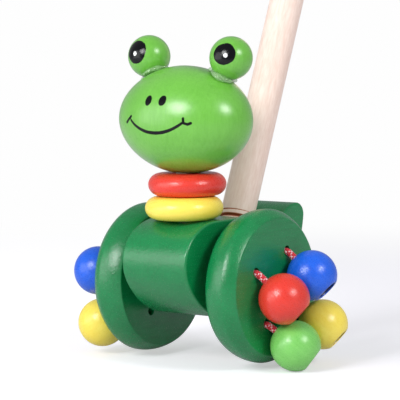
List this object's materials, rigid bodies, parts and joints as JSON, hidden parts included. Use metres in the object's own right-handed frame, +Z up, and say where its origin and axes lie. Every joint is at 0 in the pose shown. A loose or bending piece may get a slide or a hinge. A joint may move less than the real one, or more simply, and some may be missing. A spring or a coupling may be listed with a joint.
{
  "type": "push toy",
  "caption": "Wooden frog push toy: a stick pushes two wheels on an axle, whose corded beads clack as they roll.",
  "frame": {"origin": "on the floor, at the middle of the bounding box's underside", "axes": "+Z up, the frog faces -Y and the stick leans back towards +Y, +X along the axle"},
  "size_m": [0.1162, 0.2364, 0.4611],
  "materials": {
    "green_paint": "satin emerald paint on wood, grain just visible",
    "light_green_paint": "satin light green paint on wood",
    "leaf_green_paint": "satin leaf green paint on wood",
    "red_paint": "satin red paint on wood",
    "yellow_paint": "satin yellow paint on wood",
    "blue_paint": "satin blue paint on wood",
    "bare_wood": "sanded bare beech with fine flecks",
    "clear_glue": "clear glossy glue",
    "cord": "braided red cord with a pale fleck"
  },
  "bodies": {
    "root": {"body_block": "green_paint", "neck_peg": "bare_wood", "head": "light_green_paint", "eye_left": "light_green_paint", "eye_right": "light_green_paint", "eye_glue_left": "clear_glue", "eye_glue_right": "clear_glue", "handle_stick": "bare_wood", "grip_ball": "red_paint"},
    "wheel_set": {"axle": "bare_wood", "wheel_left": "green_paint", "wheel_right": "green_paint"},
    "yellow_ring": {"yellow_ring": "yellow_paint"},
    "red_ring": {"red_ring": "red_paint"},
    "cord_left_blue": {"cord_left_blue": "cord"},
    "bead_left_blue": {"bead_left_blue": "blue_paint"},
    "cord_left_red": {"cord_left_red": "cord"},
    "bead_left_red": {"bead_left_red": "red_paint"},
    "cord_left_green": {"cord_left_green": "cord"},
    "bead_left_green": {"bead_left_green": "leaf_green_paint"},
    "cord_left_yellow": {"cord_left_yellow": "cord"},
    "bead_left_yellow": {"bead_left_yellow": "yellow_paint"},
    "cord_right_red": {"cord_right_red": "cord"},
    "bead_right_red": {"bead_right_red": "red_paint"},
    "cord_right_blue": {"cord_right_blue": "cord"},
    "bead_right_blue": {"bead_right_blue": "blue_paint"},
    "cord_right_yellow": {"cord_right_yellow": "cord"},
    "bead_right_yellow": {"bead_right_yellow": "yellow_paint"},
    "cord_right_green": {"cord_right_green": "cord"},
    "bead_right_green": {"bead_right_green": "leaf_green_paint"}
  },
  "joints": [
    {"name": "wheel_spin", "type": "hinge", "parent": "root", "child": "wheel_set", "pos_m": [0, -0.08318, 0.03386], "axis": [1, 0, 0], "continuous": true},
    {"name": "yellow_ring_spin", "type": "hinge", "parent": "root", "child": "yellow_ring", "pos_m": [0, -0.09703, 0.06608], "axis": [0, 0, 1], "continuous": true},
    {"name": "red_ring_spin", "type": "hinge", "parent": "root", "child": "red_ring", "pos_m": [0, -0.09468, 0.0756], "axis": [0, 0, 1], "continuous": true},
    {"name": "cord_left_blue_turn", "type": "hinge", "parent": "wheel_set", "child": "cord_left_blue", "pos_m": [-0.0371, -0.09663, 0.04307], "axis": [1, 0, 0], "continuous": true},
    {"name": "bead_left_blue_swing", "type": "hinge", "parent": "cord_left_blue", "child": "bead_left_blue", "pos_m": [-0.0371, -0.09663, 0.04307], "axis": [0, 0.9995, -0.0314], "range_deg": [0, 60], "deforming": ["cord_left_blue"]},
    {"name": "cord_left_red_turn", "type": "hinge", "parent": "wheel_set", "child": "cord_left_red", "pos_m": [-0.0371, -0.07397, 0.04731], "axis": [1, 0, 0], "continuous": true},
    {"name": "bead_left_red_swing", "type": "hinge", "parent": "cord_left_red", "child": "bead_left_red", "pos_m": [-0.0371, -0.07397, 0.04731], "axis": [0, 0.9907, -0.1357], "range_deg": [0, 60], "deforming": ["cord_left_red"]},
    {"name": "cord_left_green_turn", "type": "hinge", "parent": "wheel_set", "child": "cord_left_green", "pos_m": [-0.0371, -0.06973, 0.02465], "axis": [1, 0, 0], "continuous": true},
    {"name": "bead_left_green_swing", "type": "hinge", "parent": "cord_left_green", "child": "bead_left_green", "pos_m": [-0.0371, -0.06973, 0.02465], "axis": [0, 0.9751, -0.2215], "range_deg": [0, 60], "deforming": ["cord_left_green"]},
    {"name": "cord_left_yellow_turn", "type": "hinge", "parent": "wheel_set", "child": "cord_left_yellow", "pos_m": [-0.0371, -0.09238, 0.02041], "axis": [1, 0, 0], "continuous": true},
    {"name": "bead_left_yellow_swing", "type": "hinge", "parent": "cord_left_yellow", "child": "bead_left_yellow", "pos_m": [-0.0371, -0.09238, 0.02041], "axis": [0, 0.95, -0.3123], "range_deg": [0, 60], "deforming": ["cord_left_yellow"]},
    {"name": "cord_right_red_turn", "type": "hinge", "parent": "wheel_set", "child": "cord_right_red", "pos_m": [0.0371, -0.09763, 0.04139], "axis": [1, 0, 0], "continuous": true},
    {"name": "bead_right_red_swing", "type": "hinge", "parent": "cord_right_red", "child": "bead_right_red", "pos_m": [0.0371, -0.09763, 0.04139], "axis": [0, -0.9178, -0.3971], "range_deg": [0, 75], "deforming": ["cord_right_red"]},
    {"name": "cord_right_blue_turn", "type": "hinge", "parent": "wheel_set", "child": "cord_right_blue", "pos_m": [0.0371, -0.07565, 0.04832], "axis": [1, 0, 0], "continuous": true},
    {"name": "bead_right_blue_swing", "type": "hinge", "parent": "cord_right_blue", "child": "bead_right_blue", "pos_m": [0.0371, -0.07565, 0.04832], "axis": [0, -0.9622, -0.2723], "range_deg": [0, 75], "deforming": ["cord_right_blue"]},
    {"name": "cord_right_yellow_turn", "type": "hinge", "parent": "wheel_set", "child": "cord_right_yellow", "pos_m": [0.0371, -0.06872, 0.02633], "axis": [1, 0, 0], "continuous": true},
    {"name": "bead_right_yellow_swing", "type": "hinge", "parent": "cord_right_yellow", "child": "bead_right_yellow", "pos_m": [0.0371, -0.06872, 0.02633], "axis": [0, -0.9291, -0.3697], "range_deg": [0, 75], "deforming": ["cord_right_yellow"]},
    {"name": "cord_right_green_turn", "type": "hinge", "parent": "wheel_set", "child": "cord_right_green", "pos_m": [0.0371, -0.0907, 0.0194], "axis": [1, 0, 0], "continuous": true},
    {"name": "bead_right_green_swing", "type": "hinge", "parent": "cord_right_green", "child": "bead_right_green", "pos_m": [0.0371, -0.0907, 0.0194], "axis": [0, -0.8499, -0.527], "range_deg": [0, 75], "deforming": ["cord_right_green"]}
  ],
  "couplings": [
    {"joint": "cord_left_blue_turn", "follows": "wheel_spin", "ratio": -1},
    {"joint": "cord_left_red_turn", "follows": "wheel_spin", "ratio": -1},
    {"joint": "bead_left_red_swing", "follows": "bead_left_blue_swing", "ratio": 1},
    {"joint": "cord_left_green_turn", "follows": "wheel_spin", "ratio": -1},
    {"joint": "bead_left_green_swing", "follows": "bead_left_blue_swing", "ratio": 1},
    {"joint": "cord_left_yellow_turn", "follows": "wheel_spin", "ratio": -1},
    {"joint": "bead_left_yellow_swing", "follows": "bead_left_blue_swing", "ratio": 1},
    {"joint": "cord_right_red_turn", "follows": "wheel_spin", "ratio": -1},
    {"joint": "cord_right_blue_turn", "follows": "wheel_spin", "ratio": -1},
    {"joint": "bead_right_blue_swing", "follows": "bead_right_red_swing", "ratio": 1},
    {"joint": "cord_right_yellow_turn", "follows": "wheel_spin", "ratio": -1},
    {"joint": "bead_right_yellow_swing", "follows": "bead_right_red_swing", "ratio": 1},
    {"joint": "cord_right_green_turn", "follows": "wheel_spin", "ratio": -1},
    {"joint": "bead_right_green_swing", "follows": "bead_right_red_swing", "ratio": 1}
  ]
}
